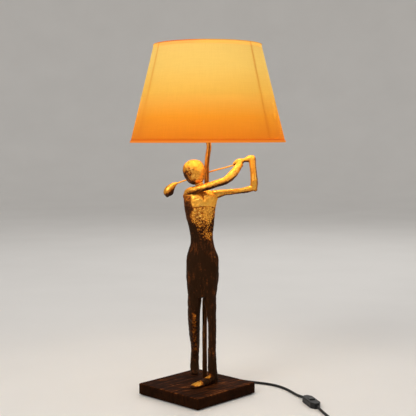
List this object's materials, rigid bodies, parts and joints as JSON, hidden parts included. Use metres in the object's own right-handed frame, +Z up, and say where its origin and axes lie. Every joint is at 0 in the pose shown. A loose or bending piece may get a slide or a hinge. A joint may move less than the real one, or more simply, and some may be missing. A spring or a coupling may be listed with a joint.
{
  "type": "figural table lamp",
  "caption": "Table lamp with a slender gold sculpture of a swinging sports player on a square dark base, a twig-like pole behind it, a flared fabric shade and an inline cord switch.",
  "frame": {"origin": "on the table plane, below the axis of the lampholder and shade", "axes": "+Z up along the shade's axis; -Y the side the figure faces; +X to the right seen from there"},
  "size_m": [0.3649, 0.4641, 0.6732],
  "materials": {
    "base": "satin",
    "felt": "matte",
    "steel": "satin",
    "steel_wire": "satin",
    "black_rubber": "matte",
    "pole_gold": "satin",
    "black_cord": "matte",
    "holder_plastic": "matte",
    "ceramic_white": "gloss",
    "brass": "satin",
    "figure_gold": "satin",
    "club_gold": "satin",
    "black_plastic": "satin",
    "shade_fabric": "matte",
    "shade_tape": "matte",
    "bulb_glass": "satin",
    "bulb_metal": "satin",
    "black_glass": "gloss"
  },
  "bodies": {
    "lamp": {"base_slab": "base", "base_pads": "felt", "pole_washer": "steel", "pole_nut": "steel", "figure_screws": "steel", "cord_bush": "black_rubber", "pole_tube": "pole_gold", "holder_stud": "steel", "lead_internal": "black_cord", "holder_cap": "holder_plastic", "holder_locknut": "steel", "holder_skirt": "holder_plastic", "holder_insert": "ceramic_white", "holder_centre_contact": "brass", "holder_side_contacts": "brass", "holder_terminal_screws": "brass", "figure_body": "figure_gold", "figure_head": "figure_gold", "figure_arm_right": "figure_gold", "figure_arm_left": "figure_gold", "club_shaft": "club_gold", "club_head": "figure_gold", "cord_lamp_side": "black_cord", "cord_plug_side": "black_cord", "cord_coil": "black_cord", "cord_tail": "black_cord", "switch_lower_shell": "black_plastic", "switch_upper_shell": "black_plastic", "switch_screws": "steel", "switch_pivot": "black_plastic", "switch_terminals": "brass", "plug_body": "black_plastic", "plug_pins": "brass"},
    "shade": {"shade_cover": "shade_fabric", "shade_hem_bottom": "shade_tape", "shade_hem_top": "shade_tape", "shade_ring_bottom": "steel_wire", "shade_ring_top": "steel_wire", "shade_struts": "steel_wire", "shade_fitter": "steel_wire"},
    "clamp_ring": {"clamp_ring": "holder_plastic"},
    "bulb": {"bulb_globe": "bulb_glass", "bulb_screw_cap": "bulb_metal", "bulb_insulator": "black_glass", "bulb_tip_contact": "bulb_metal"},
    "rocker": {"switch_rocker": "black_plastic"}
  },
  "joints": [
    {"name": "shade_turn", "type": "hinge", "parent": "lamp", "child": "shade", "pos_m": [0, 0, 0.54], "axis": [0, 0, 1], "continuous": true},
    {"name": "ring_unscrew", "type": "slide", "parent": "lamp", "child": "clamp_ring", "axis": [0, 0, 1], "range_m": [0, 0.01]},
    {"name": "bulb_out", "type": "slide", "parent": "lamp", "child": "bulb", "axis": [0, 0, 1], "range_m": [0, 0.14]},
    {"name": "switch_rock", "type": "hinge", "parent": "lamp", "child": "rocker", "pos_m": [0.1885, -0.1075, 0.0082], "axis": [0.9703, 0.2419, 0], "range_deg": [0, 14]}
  ]
}
